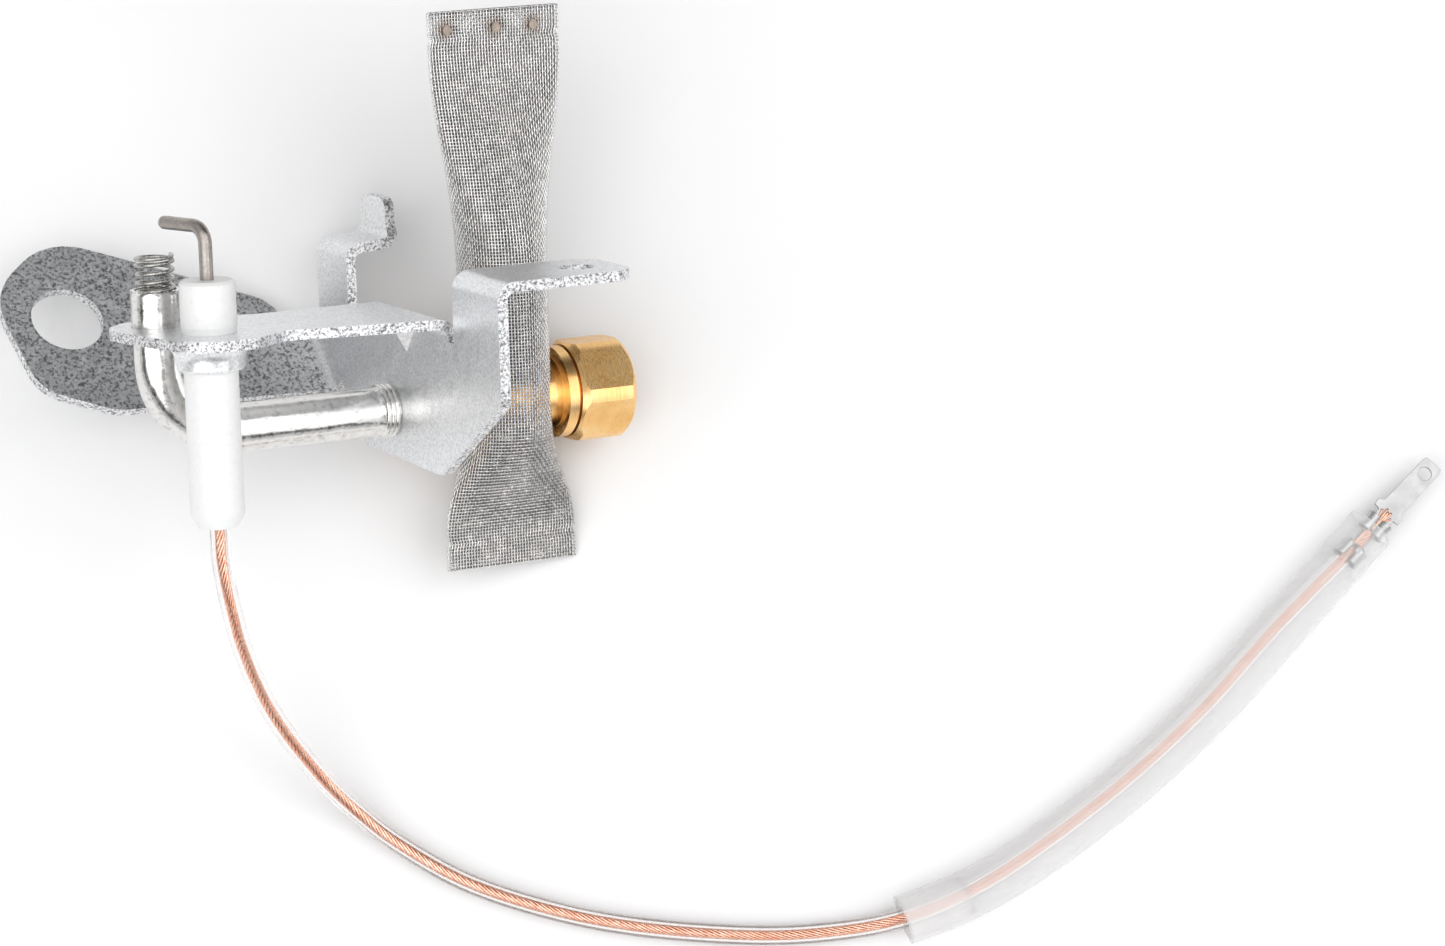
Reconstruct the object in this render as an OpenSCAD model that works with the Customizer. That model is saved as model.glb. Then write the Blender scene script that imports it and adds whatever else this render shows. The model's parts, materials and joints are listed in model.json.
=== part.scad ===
// Gas pilot burner with its ignition electrode, lying on a flat surface.
// Each piece is drawn in the burner's own axes: x runs from the elbow to the gas
// inlet along the mixing tube, y points away from the electrode side, z points
// along the flame. The module laid() then sets the whole burner down on z = 0.

/* [Bracket] */
// Thickness of the bracket's sheet steel
sheet = 1.25; // [1:0.05:1.5]
// Height of the shelf's underside above the mixing tube's axis
shelf_z = 12; // [11.5:0.5:13.5]
// Diameter of the hole in the mounting ear
ear_hole_d = 9; // [6:0.5:10]
// Diameter of the hole in the fixing tab
tab_hole_d = 4.2; // [3:0.1:5]
// Length of the fixing tab beyond the web
tab_length = 16; // [14:0.5:20]

/* [Pilot tube] */
// Outer diameter of the pilot tube
tube_d = 6; // [5.5:0.1:6.2]
// Wall thickness of the pilot tube
tube_wall = 0.5; // [0.3:0.1:0.6]
// Distance from the web to the upright part's axis
tube_reach = 29.6; // [29:0.2:31]
// Height of the tube's mouth above the mixing tube's axis
mouth_z = 17.5; // [16:0.5:18.5]
// Diameter of the flame spring's wire
spring_wire = 0.5; // [0.4:0.05:0.6]

/* [Ignition electrode] */
// Diameter of the ceramic above the shelf
ceramic_top_d = 6.6; // [6.2:0.1:6.8]
// Diameter of the ceramic below the shelf
ceramic_low_d = 6.4; // [6.4:0.1:6.8]
// Height of the ceramic above the shelf
ceramic_above = 6.2; // [4:0.2:7]
// Length of the ceramic below the shelf
ceramic_below = 21.8; // [18:0.2:23]
// Diameter of the electrode rod
rod_d = 1.6; // [1.2:0.1:2]
// Height of the rod's bend above the ceramic
rod_rise = 7; // [6:0.2:9]

/* [Gas inlet] */
// Width across flats of the union nut
nut_af = 12; // [12:0.5:13]
// Length of the union nut
nut_length = 7.4; // [7:0.2:9]
// Bore for the gas pipe
pipe_bore_d = 4.1; // [4.05:0.05:4.2]

/* [Air filter] */
// Length of the wire-mesh sleeve
mesh_length = 68.8; // [60:0.4:74]
// Width of the sleeve's pinched ends
mesh_end_w = 18; // [17:0.2:19]

/* [Ignition lead] */
// Outer diameter of the lead's jacket
lead_d = 2.4; // [2.2:0.1:2.5]
// Diameter of the lead's stranded core
core_d = 1.3; // [1:0.1:1.5]
// Outer diameter of the insulating sleeve
sleeve_d = 6.2; // [5.8:0.1:6.2]

/* [Hidden] */
$fn = 64;

// How the burner lies: a roll about x, then a pitch about y, then a lift.
lie_roll = -66.677;
lie_pitch = 21.833;
lie_shift = [6.84, -12.305, 16.873];

fit = 0.05;                 // radial running clearance
slim = 0.02;                // hairline gap between neighbours
bend_in = 1;                // inner radius of the sheet's folds
bend_out = bend_in + sheet;

// ---- general shapes ----------------------------------------------------

module laid() {
    translate(lie_shift) rotate([lie_roll, lie_pitch, 0]) children();
}

// One rounded corner of an outline: points on the arc that blends two sides.
function unit(v) = v / norm(v);
function arc_of(before, corner, after, r, steps = 6) =
    let (
        u = unit(before - corner),
        w = unit(after - corner),
        half = acos(u * w) / 2,
        reach = r / tan(half),
        middle = corner + unit(u + w) * r / sin(half),
        start = corner + u * reach - middle,
        end = corner + w * reach - middle
    )
    [for (k = [0:steps]) let (s = k / steps, v = start * (1 - s) + end * s)
        middle + unit(v) * r];

// An outline whose corners are [x, y, radius]; radius 0 leaves a corner sharp.
function rounded(corners) =
    let (n = len(corners), at = [for (c = corners) [c[0], c[1]]])
    [for (i = [0:n - 1])
        each (corners[i][2] == 0 ? [at[i]]
            : arc_of(at[(i + n - 1) % n], at[i], at[(i + 1) % n], corners[i][2]))];

module plate(corners, t = sheet) {
    linear_extrude(t) polygon(rounded(corners));
}

// A quarter fold of the sheet about the z axis, from +x round to +y.
module fold(width, r = bend_in) {
    rotate_extrude(angle = 90) translate([r, 0]) square([sheet, width]);
}

module ring(outer, inner, length) {
    difference() {
        cylinder(d = outer, h = length);
        translate([0, 0, -1]) cylinder(d = inner, h = length + 2);
    }
}

// Turns a shape drawn along z so that it runs along x.
module along_x(x) {
    translate([x, 0, 0]) rotate([0, 90, 0]) children();
}

// ---- bracket -----------------------------------------------------------
// Plan positions use a = -y, the distance towards the electrode's side.

shelf_a = [-1, 17.2];         // the shelf's fold, from back to front
tab_a = [18.8, 31.2];       // the fixing tab's two sides
tab_top = 19.1;             // upper face of the fixing tab
hook_a = [-20.6, -11.6];     // the hook's two sides
hook_step = 5.8;            // how far the hook's top stands back
hook_fold_z = 16.8;
hook_top_z = 24;
tube_at = [-tube_reach, 0];           // upright tube in plan, [x, a]
ceramic_at = [-tube_reach + 3, 8.8];
collar_d = 8.2;
collar_h = 3.1;
crease_angle = 47;          // slope of the ear's fold line
crease_top = [-21.2, 6.4];  // [a, z]
ear_hole = [31.3, 6.3];     // [u, v] in the ear's plane
ear_bend = 1.8;             // inner radius of the ear's fold
fold_top = crease_top + ear_bend * [sin(crease_angle), cos(crease_angle)];
fold_low = fold_top + 8 * [cos(crease_angle), -sin(crease_angle)];

// Web corners as [a, z, radius]
web = [
    [fold_top[0], fold_top[1], 0], [fold_low[0], fold_low[1], 0],
    [-9.5, -5.3, 2], [14, -6, 2.5], [tab_a[1], 4.6, 2],
    [tab_a[1], tab_top - bend_out, 0], [tab_a[0], tab_top - bend_out, 0],
    [tab_a[0], 10.5, 0], [shelf_a[1], 10.5, 0],
    [shelf_a[1], shelf_z - bend_in, 0], [shelf_a[0], shelf_z - bend_in, 0],
    [-3, 9, 1], [hook_a[1], 9, 1], [hook_a[1], hook_fold_z, 0],
    [hook_a[0], hook_fold_z, 0], [hook_a[0], 9, 0.5]
];

// Shelf corners as [x, a, radius]
shelf = [
    [-bend_in, shelf_a[0], 0], [-bend_in, shelf_a[1], 0], [-19, 13.2, 2],
    [-23.5, 16.4, 2], [-31.5, 16.9, 6], [-36, -1, 4.3], [-32, -4.6, 3],
    [-25, -4.6, 3], [-17, shelf_a[0], 6]
];

// Ear corners as [u, v, radius]
ear = [
    [ear_bend, -8, 0], [29, -7.7, 8], [37.6, -3.4, 5], [39.8, 11, 8],
    [30.5, 18.6, 8], [19, 13.2, 14], [5.5, 6.4, 4], [ear_bend, 1, 1]
];

// Stands a shape drawn in the plane (a, z) upright, its thickness along +x.
module stand() {
    multmatrix([[0, 0, 1, 0], [-1, 0, 0, 0], [0, 1, 0, 0]]) children();
}

module shelf_plate() {
    translate([0, 0, shelf_z]) mirror([0, 1, 0]) plate(shelf);
    translate([-bend_in, -shelf_a[0], shelf_z - bend_in]) rotate([90, 0, 0])
        fold(shelf_a[1] - shelf_a[0]);
    // The collar is drawn from the shelf, so it flares where it leaves it.
    r = collar_d / 2;
    at_ceramic() translate([0, 0, shelf_z]) rotate_extrude() polygon([
        [0, sheet / 2], [r + 1.5, sheet / 2], [r + 1.5, 0], [r + 0.7, -0.4],
        [r + 0.2, -1.1], [r, -1.8], [r, -collar_h + 0.3], [r - 0.3, -collar_h],
        [0, -collar_h]]);
}

module tab_plate() {
    x0 = sheet + bend_in;
    w = tab_a[1] - tab_a[0];
    corner = 2.2;
    translate([x0, -tab_a[0], tab_top - bend_out]) rotate([90, 0, 0])
        mirror([1, 0, 0]) fold(w);
    translate([x0, -tab_a[1], tab_top - sheet])
        plate([[0, 0, 0], [tab_length - corner, 0, 0.8], [tab_length, corner, 0.8],
            [tab_length, w - corner, 0.8], [tab_length - corner, w, 0.8], [0, w, 0]]);
}

// The hook: up the web's plane, back by hook_step, then up again.
module hook_plate() {
    w = hook_a[1] - hook_a[0];
    narrow = 0.8;
    step_z = hook_fold_z + 2.1;
    far = hook_step + sheet;
    side = rounded([[0, hook_fold_z - 0.01, 0], [0, step_z, 2], [hook_step, step_z + 0.4, 0.8],
        [hook_step, hook_top_z, 0], [far, hook_top_z, 0], [far, step_z + 0.4 - sheet, 2],
        [sheet, step_z - sheet, 0.8], [sheet, hook_fold_z - 0.01, 0]]);
    intersection() {
        translate([0, -hook_a[0], 0]) rotate([90, 0, 0])
            linear_extrude(w) polygon(side);
        stand() translate([0, 0, -1]) plate([
            [hook_a[0], hook_fold_z - 1, 0], [hook_a[1], hook_fold_z - 1, 0],
            [hook_a[1], hook_fold_z + 2.6, 0.5], [hook_a[1] - narrow, hook_fold_z + 3.8, 0.5],
            [hook_a[1] - narrow, hook_top_z, 1.6], [hook_a[0] + narrow, hook_top_z, 1.6],
            [hook_a[0] + narrow, hook_fold_z + 3.8, 0.5],
            [hook_a[0], hook_fold_z + 2.6, 0.5]], hook_step + sheet + 2);
    }
}

// Places a shape drawn in the ear's plane (u, v), its thickness behind it.
module on_ear() {
    translate([0, -crease_top[0], crease_top[1]]) rotate([crease_angle, 0, 0])
        mirror([1, 0, 0]) children();
}

module ear_plate() {
    on_ear() mirror([0, 0, 1]) plate(ear);
    on_ear() translate([ear_bend, 0, ear_bend]) rotate([90, 90, 0]) mirror([0, 1, 0])
        fold(8, ear_bend);
}

// A pressed dart that stiffens the inside of the shelf's fold.
module dart(a) {
    reach = 4.2;
    half = 3.2;
    depth = 2.4;
    top = shelf_z + 0.1;
    hull() {
        stand() translate([0, 0, -0.05]) linear_extrude(0.1)
            polygon([[a - half, top], [a + half, top], [a, top - reach]]);
        translate([-depth, -a - 0.05, top - 0.1]) cube(0.1);
    }
}

module bracket() {
    color("gainsboro") difference() {
        union() {
            stand() plate(web);
            shelf_plate();
            tab_plate();
            hook_plate();
            ear_plate();
            dart(5.4);
        }
        translate([tube_at[0], -tube_at[1], 0]) cylinder(d = tube_d + 2 * fit, h = 30);
        translate([ceramic_at[0], -ceramic_at[1], 0])
            cylinder(d = ceramic_low_d + 2 * fit, h = 30);
        translate([sheet + tab_length - 4, -(tab_a[0] + tab_a[1]) / 2, tab_top - 3])
            cylinder(d = tab_hole_d, h = 6);
        along_x(-1) cylinder(d = neck_d + 2 * fit, h = sheet + 2);
        on_ear() translate([ear_hole[0], ear_hole[1], -sheet - 1])
            cylinder(d = ear_hole_d, h = sheet + 2);
    }
}

// ---- pilot tube, its collar and the flame spring -------------------------

neck_d = 4.4;               // hole through the web for the injector's nose
elbow_r = 9;                // centre-line radius of the tube's elbow
bore_d = tube_d - 2 * tube_wall;
collar_len = 2;             // beaded collar between tube and web
collar_od = tube_d + 0.7;

// The tube's path at diameter d, longer than the tube by spare at both ends.
module tube_path(d, spare = 0) {
    flat = tube_reach - elbow_r - collar_len;
    translate([-collar_len - flat, 0, 0]) rotate([0, 90, 0])
        cylinder(d = d, h = flat + spare);
    translate([-tube_reach, 0, elbow_r]) cylinder(d = d, h = mouth_z - elbow_r + spare);
    translate([-tube_reach + elbow_r, 0, elbow_r]) rotate([90, 0, 0])
        rotate([0, 0, 180]) rotate_extrude(angle = 90) translate([elbow_r, 0]) circle(d = d);
}

module pilot_tube() {
    color("silver") difference() {
        tube_path(tube_d);
        tube_path(bore_d, 1);
    }
}

module tube_collar() {
    groove = 0.25;
    color("lightgray") along_x(-collar_len) difference() {
        cylinder(d = collar_od, h = collar_len);
        translate([0, 0, -1]) cylinder(d = neck_d + 2 * fit, h = collar_len + 2);
        for (z = [0.6, 1.25]) translate([0, 0, z])
            ring(collar_od + 1, collar_od - 2 * groove, groove);
    }
}

spring_d = bore_d - 0.2;    // outer diameter of the coil
spring_turns = 8;
spring_pitch = 1.05;
spring_top = mouth_z + 4.3;
coil_r = (spring_d - spring_wire) / 2;

// Height of the coil's centre-line after t turns; the end turns lie closed.
function spring_rise(t) = spring_pitch * t
    - (spring_pitch - spring_wire) * (min(t, 1) + max(0, t - spring_turns + 1));

// A closed tube through rings of points.
module skin(rings) {
    n = len(rings[0]);
    last = len(rings) - 1;
    points = [for (r = rings) each r];
    walls = [for (i = [0:last - 1], k = [0:n - 1]) each [
        [i * n + k, i * n + (k + 1) % n, (i + 1) * n + k],
        [i * n + (k + 1) % n, (i + 1) * n + (k + 1) % n, (i + 1) * n + k]]];
    ends = [[for (k = [n - 1:-1:0]) k], [for (k = [0:n - 1]) last * n + k]];
    polyhedron(points, concat(walls, ends), convexity = 6);
}

module flame_spring() {
    steps = 20;
    top = spring_rise(spring_turns);
    color("darkgray") translate([-tube_reach, 0, spring_top - top - spring_wire / 2])
        skin([for (i = [0:spring_turns * steps]) let (t = i / steps, a = 360 * t)
            [for (k = [7:-1:0]) let (q = 45 * k, r = coil_r + spring_wire / 2 * cos(q))
                [r * cos(a), r * sin(a), spring_rise(t) + spring_wire / 2 * sin(q)]]]);
}

// ---- ignition electrode --------------------------------------------------

ceramic_lean = 1.2;         // the insulator leans a little towards the tube
shelf_top = shelf_z + sheet;
ceramic_end = shelf_z - ceramic_below;
ceramic_tip = shelf_top + ceramic_above;
rod_bend = 2;               // centre-line radius of the rod's bend
rod_over = 7.8;             // the rod's reach from its axis to its tip
ferrule_d = 2.6;
seal_len = 1.6;

module at_ceramic() {
    translate([ceramic_at[0], -ceramic_at[1], 0]) children();
}

module ceramic_insulator() {
    low = ceramic_end + seal_len;
    color("white") at_ceramic() difference() {
        rotate_extrude() polygon([
            [0, ceramic_end], [ceramic_low_d / 2 - 0.9, ceramic_end],
            [ceramic_low_d / 2, ceramic_end + 1.6],
            [ceramic_low_d / 2, shelf_top + 0.4], [ceramic_top_d / 2, shelf_top + 0.8],
            [ceramic_top_d / 2, ceramic_tip - 0.35], [ceramic_top_d / 2 - 0.35, ceramic_tip],
            [0, ceramic_tip]]);
        translate([0, 0, ceramic_end]) cylinder(d = rod_d + 2 * fit, h = 40);
        translate([0, 0, ceramic_end - 1]) cylinder(d = ferrule_d + 2 * fit, h = 9);
        translate([0, 0, ceramic_end - 1]) cylinder(d = 4.2, h = seal_len + 1);
    }
}

// The rod rises out of the ceramic and bends over the flame spring.
module electrode_rod() {
    heading = atan2(-tube_at[1] + ceramic_at[1], tube_at[0] - ceramic_at[0]);
    top = ceramic_tip + rod_rise - rod_d / 2;
    foot = ceramic_end + 4;
    color("rosybrown") at_ceramic() rotate([0, 0, heading]) {
        translate([0, 0, foot]) cylinder(d = rod_d, h = top - rod_bend - foot);
        translate([rod_bend, 0, top - rod_bend]) rotate([90, 0, 0])
            rotate([0, 0, 90]) rotate_extrude(angle = 90)
                translate([rod_bend, 0]) circle(d = rod_d);
        translate([rod_bend, 0, top]) rotate([0, 90, 0])
            cylinder(d = rod_d, h = rod_over - rod_bend - rod_d / 2);
        translate([rod_over - rod_d / 2, 0, top]) sphere(d = rod_d);
    }
}

module splice_ferrule() {
    foot = ceramic_end + seal_len + slim;
    color("goldenrod") at_ceramic() difference() {
        translate([0, 0, foot]) cylinder(d = ferrule_d, h = 6);
        translate([0, 0, ceramic_end + 4]) cylinder(d = rod_d, h = 8);
        translate([0, 0, foot - 1]) cylinder(d = core_d + 2 * slim, h = 3.4);
    }
}

module end_seal() {
    color("whitesmoke") at_ceramic() translate([0, 0, ceramic_end])
        ring(4.2, lead_d + 2 * slim, seal_len);
}

// ---- gas inlet -----------------------------------------------------------

mesh_at = 15.5;             // the mesh sleeve's axis along x
body_d = 7.6;
thread_d = 9.9;
flange_at = 21.2;
nut_at = 23.1;              // left face of the nut when tight
nut_wall = 2.2;             // thickness of the nut's end wall
body_end = nut_at + nut_length - nut_wall - 1.2; // right end of the injector body
cone = 1.3;                 // depth of the olive's seat
cone_d = 7.2;
port_d = 3.2;               // primary air ports, inside the mesh sleeve
pocket_d = 3.4;             // seat of the injector jet
jet_at = 18.5;
pipe_stop = 23.2;           // the gas pipe reaches in this far
nose_len = collar_len + sheet;

module injector_body() {
    color("goldenrod") difference() {
        union() {
            along_x(-nose_len + sheet) cylinder(d = neck_d, h = nose_len + 1);
            along_x(sheet + slim) cylinder(d = body_d, h = flange_at - sheet);
            along_x(flange_at) cylinder(d = 9, h = 2);
            along_x(nut_at - 0.2) cylinder(d = thread_d, h = body_end - nut_at - 0.8);
            along_x(body_end - 1) cylinder(d1 = thread_d, d2 = thread_d - 1.6, h = 1);
        }
        along_x(-5) cylinder(d = 3.2, h = 22.5);
        along_x(17) cylinder(d = 1.4, h = 4);
        along_x(jet_at) cylinder(d = pocket_d, h = pipe_stop - jet_at + 0.5);
        along_x(pipe_stop) cylinder(d = pipe_bore_d, h = 8);
        along_x(body_end - cone) cylinder(d1 = pipe_bore_d, d2 = cone_d, h = cone + 0.01);
        for (turn = [0, 90]) translate([mesh_at - 3.4, 0, 0]) rotate([turn, 0, 0])
            translate([0, 0, -6]) cylinder(d = port_d, h = 12);
    }
}

module injector_jet() {
    color("khaki") along_x(jet_at + slim) difference() {
        cylinder(d = pocket_d - 2 * slim, h = 4.4);
        translate([0, 0, -1]) cylinder(d = 0.3, h = 3);
        translate([0, 0, 1]) cylinder(d = 2, h = 5);
    }
}

// Thin hexagon nut that clamps the injector body to the web.
module lock_nut() {
    color("darkkhaki") along_x(sheet + slim) difference() {
        cylinder(d = 11, h = 2.2, $fn = 6);
        translate([0, 0, -1]) cylinder(d = body_d + 2 * slim, h = 5);
    }
}

// Slotted ring against the body's shoulder.
module lock_ring() {
    color("gold") along_x(flange_at + 0.3) difference() {
        cylinder(d = 11.3, h = 1.3);
        translate([0, 0, -1]) cylinder(d = 9 + 2 * slim, h = 5);
        rotate([0, 0, 125]) translate([4.8, -0.45, -1]) cube([1.4, 0.9, 4]);
    }
}

module union_nut() {
    round_d = nut_af + 1;
    inner = nut_length - nut_wall;
    color("orange") along_x(nut_at) difference() {
        intersection() {
            rotate([0, 0, 30]) cylinder(d = nut_af / cos(30), h = nut_length, $fn = 6);
            rotate_extrude() polygon([[0, 0], [nut_af / 2 - 0.2, 0],
                [round_d / 2, 0.8], [round_d / 2, nut_length - 0.8],
                [nut_af / 2 - 0.2, nut_length], [0, nut_length]]);
        }
        translate([0, 0, -1]) cylinder(d = thread_d + 2 * fit, h = inner + 1);
        translate([0, 0, inner - 0.01]) cylinder(d = pipe_bore_d + 0.1, h = 5);
    }
}

// Compression ring, seated in the cone of the injector body.
module olive() {
    inner = pipe_bore_d / 2 + 0.01;
    color("gold") along_x(body_end - cone + 0.5) rotate_extrude() polygon([
        [inner, 0], [2.55, 0], [3.2, 0.7], [3.2, 1.2], [2.6, 1.85], [inner, 1.85]]);
}

// ---- wire-mesh air filter -------------------------------------------------

mesh_low = -21;             // lower pinched end
mesh_top = mesh_low + mesh_length;
mesh_mid = [10.8, 12.6];    // width and depth where the gas inlet crosses
mesh_skin = 0.5;            // thickness of the double woven layer
seam_h = 4.2;               // height of each pinched end

// How far the sleeve has opened out of its pinch, 0 to 1, at height z.
function swell(z) =
    let (below = z - mesh_low - seam_h, above = mesh_top - seam_h - z)
    z < 0 ? ease(below / 14) : ease(above / 28);
function ease(t) = let (s = max(0, min(1, t))) s * s * (3 - 2 * s);
function oval_w(z) = mesh_end_w + (mesh_mid[0] - mesh_end_w) * swell(z);
function oval_h(z) = 1.3 + (mesh_mid[1] - 1.3) * swell(z);

module mesh_shape(inset) {
    levels = 30;
    low = mesh_low + inset;
    high = mesh_top - inset;
    skin([for (i = [0:levels]) let (z = low + (high - low) * i / levels)
        [for (k = [31:-1:0]) let (q = k * 11.25)
            [(oval_w(z) / 2 - inset) * cos(q), (oval_h(z) / 2 - inset) * sin(q), z]]]);
}

module mesh_filter() {
    color("darkgray") translate([mesh_at, 0, 0]) difference() {
        mesh_shape(0);
        mesh_shape(mesh_skin);
        along_x(-20) cylinder(d = body_d + 2 * fit, h = 40);
    }
}

// Three spot welds that close the upper pinched end.
module seam_welds() {
    color("peru") for (x = [-6.5, 0, 5])
        translate([mesh_at + x, -0.65 - slim, mesh_top - 2.4]) rotate([90, 0, 0])
            cylinder(d = 1.1, h = 0.2);
}

// ---- ignition lead ---------------------------------------------------------
// The lead is laid out on the surface, so its route is in the laid-down frame.

lead_route = [
    [-16.1, -23.6, 31.2], [-16.3, -25.6, 30.4], [-16.7, -28.5, 29.2], [-16.8, -31.5, 27.6],
    [-16.7, -34.5, 25.1], [-16.5, -37.2, 22.3], [-15.9, -40.4, 18.6], [-14.9, -43.9, 14.5],
    [-13.4, -47.3, 10.9], [-11.6, -50.5, 7.8], [-9.4, -54, 4.9], [-6.4, -57.9, 2.6],
    [-2.3, -62.5, 1.5], [5.1, -68.9, 1.3], [15.1, -74.6, 1.3], [25.5, -78.8, 1.3],
    [38.3, -82.4, 1.3], [48, -83.9, 1.4], [56, -84.1, 2], [63.8, -82.8, 2.4],
    [72.6, -79.8, 2.6], [85.6, -73.8, 2.7], [97.9, -66.7, 2.7], [110, -58.1, 2.8],
    [122, -50.4, 2.9]
];
sleeve_route = [[55.9, -84.4], [63.8, -83.1], [72.8, -80.2], [85.8, -74.3], [98.2, -67.1],
    [110.3, -58.5], [124.1, -48.6]];
sleeve_z = 3.2;             // height of the sleeve's centre-line
sleeve_wall = 0.5;
inner_d = sleeve_d - 2 * sleeve_wall - 0.1;
terminal_turn = 34;         // heading of the terminal on the surface
crimp_reach = 5;          // bare core beyond the end of the jacket

// A smooth curve through the route, with n steps between neighbouring points.
function smooth(p, n) = let (last = len(p) - 1)
    [for (i = [0:last - 1], k = [0:(i == last - 1 ? n : n - 1)])
        let (t = k / n, b = p[i], c = p[i + 1],
            m0 = i == 0 ? c - b : (c - p[i - 1]) / 2,
            m1 = i == last - 1 ? c - b : (p[i + 2] - b) / 2)
        (2 * t ^ 3 - 3 * t ^ 2 + 1) * b + (t ^ 3 - 2 * t ^ 2 + t) * m0
            + (3 * t ^ 2 - 2 * t ^ 3) * c + (t ^ 3 - t ^ 2) * m1];

// An eight-sided tube of radius r along a path.
module sweep(path, r) {
    last = len(path) - 1;
    skin([for (i = [0:last]) let (
            ahead = unit(path[min(i + 1, last)] - path[max(i - 1, 0)]),
            side = unit(cross(ahead, [0, 0, 1])),
            up = cross(side, ahead))
        [for (k = [0:7]) path[i] + r * (cos(45 * k) * side + sin(45 * k) * up)]]);
}

lead_path = smooth(lead_route, 3);
lead_end = lead_route[len(lead_route) - 1];
core_end = lead_end + crimp_reach * [cos(terminal_turn), sin(terminal_turn), 0];
sleeve_path = smooth([for (q = sleeve_route) [q[0], q[1], sleeve_z]], 5);

module lead_core() {
    color("sandybrown") {
        sweep(concat(lead_path, [core_end]), core_d / 2);
        laid() at_ceramic() translate([0, 0, ceramic_end + slim])
            cylinder(d = core_d, h = 3);
    }
}

module lead_jacket() {
    color("lavenderblush") difference() {
        sweep(lead_path, lead_d / 2);
        sweep(stretched(lead_path), core_d / 2 + 2 * slim);
    }
}

module insulating_sleeve() {
    color("white") difference() {
        sweep(sleeve_path, sleeve_d / 2);
        sweep(stretched(sleeve_path), sleeve_d / 2 - sleeve_wall);
    }
}

module inner_sleeve() {
    path = [for (i = [5:len(sleeve_path) - 3]) sleeve_path[i]];
    color("whitesmoke") difference() {
        sweep(path, inner_d / 2);
        sweep(stretched(path), inner_d / 2 - 0.35);
    }
}

// The same path with its first and last points pushed outwards by 1 mm.
function stretched(p) = let (last = len(p) - 1)
    [for (i = [0:last]) i == 0 ? p[0] + unit(p[0] - p[1])
        : i == last ? p[last] + unit(p[last] - p[last - 1]) : p[i]];

// Flat male blade, drawn along x from the end of the lead's jacket.
module terminal_tab() {
    thick = 0.5;
    blade_at = 5.4;
    tip = 14.5;
    half_w = 1.4;
    shoulder = 2.05;
    grip_at = -2.4;
    strip_low = -lead_d / 2 - 0.5;
    color("gainsboro") translate(lead_end) rotate([0, 0, terminal_turn]) {
        difference() {
            translate([0, 0, -thick / 2]) linear_extrude(thick) polygon(rounded([
                [blade_at - 0.8, -1.1, 0], [blade_at, -shoulder, 0.3],
                [blade_at + 1, -shoulder, 0.3], [blade_at + 1.4, -half_w, 0],
                [tip - 0.6, -half_w, 0], [tip, -0.9, 0], [tip, 0.9, 0],
                [tip - 0.6, half_w, 0], [blade_at + 1.4, half_w, 0],
                [blade_at + 1, shoulder, 0.3], [blade_at, shoulder, 0.3],
                [blade_at - 0.8, 1.1, 0]]));
            translate([tip - 1.8, 0, -1]) cylinder(d = 1.75, h = 2);
        }
        translate([2.3, 0, 0]) rotate([0, 90, 0]) ring(core_d + 1.4, core_d + 6 * slim, 2.2);
        translate([grip_at, 0, 0]) rotate([0, 90, 0]) ring(lead_d + 1, lead_d + 8 * slim, 2);
        translate([grip_at, -0.7, strip_low]) cube([blade_at - 0.3 - grip_at, 1.4, 0.4]);
        translate([2.3, -0.35, strip_low]) cube([2.2, 0.7, 1.1]);
        translate([blade_at - 0.8, -0.7, strip_low]) cube([0.5, 1.4, -strip_low]);
    }
}

laid() bracket();
laid() pilot_tube();
laid() tube_collar();
laid() flame_spring();
laid() ceramic_insulator();
laid() electrode_rod();
laid() splice_ferrule();
laid() end_seal();
laid() injector_body();
laid() injector_jet();
laid() lock_nut();
laid() lock_ring();
laid() union_nut();
laid() olive();
laid() mesh_filter();
laid() seam_welds();
lead_core();
lead_jacket();
insulating_sleeve();
inner_sleeve();
terminal_tab();
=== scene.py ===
import json
import math
import bmesh
import bpy
import numpy as np
from mathutils import Matrix, Vector
from mathutils.bvhtree import BVHTree
from mathutils.geometry import tessellate_polygon


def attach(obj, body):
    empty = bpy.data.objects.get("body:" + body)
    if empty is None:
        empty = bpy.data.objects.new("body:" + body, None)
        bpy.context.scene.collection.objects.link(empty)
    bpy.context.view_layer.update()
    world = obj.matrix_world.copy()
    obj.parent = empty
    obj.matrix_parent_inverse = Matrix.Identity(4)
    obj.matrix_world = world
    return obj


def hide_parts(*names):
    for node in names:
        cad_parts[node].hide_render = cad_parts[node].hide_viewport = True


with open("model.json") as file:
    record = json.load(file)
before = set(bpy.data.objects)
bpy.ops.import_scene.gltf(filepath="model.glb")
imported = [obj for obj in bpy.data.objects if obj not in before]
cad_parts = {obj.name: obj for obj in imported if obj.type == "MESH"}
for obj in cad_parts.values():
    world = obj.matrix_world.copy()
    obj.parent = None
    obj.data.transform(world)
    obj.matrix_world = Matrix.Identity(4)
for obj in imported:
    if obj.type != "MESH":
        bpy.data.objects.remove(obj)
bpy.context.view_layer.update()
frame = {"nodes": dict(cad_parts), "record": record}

MM = 0.001
FULL_TURN = 2 * math.pi
scene = bpy.context.scene
record = frame["record"]
joints = {j["name"]: j for j in record["behaviour"]["joints"]}
mounts = {m["name"]: m for m in record["mounts"]}

# The burner's own axes: x along the gas inlet, z along the flame.
AX = np.array(joints["nut_turn"]["axis"], float)
AZ = np.array(mounts["tab_hole"]["axis"], float)
AX /= np.linalg.norm(AX)
AZ -= AX * (AZ @ AX)
AZ /= np.linalg.norm(AZ)
AY = np.cross(AZ, AX)
NUT_FROM_WEB = 26.8
ORIGIN = np.array(joints["nut_turn"]["pos_m"], float) - NUT_FROM_WEB * MM * AX
BASIS = np.stack([AX, AY, AZ])


def place(points):
    """Points in the burner's own axes, in mm, to the row frame, in metres."""
    return np.asarray(points, float) * MM @ BASIS + ORIGIN


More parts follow.
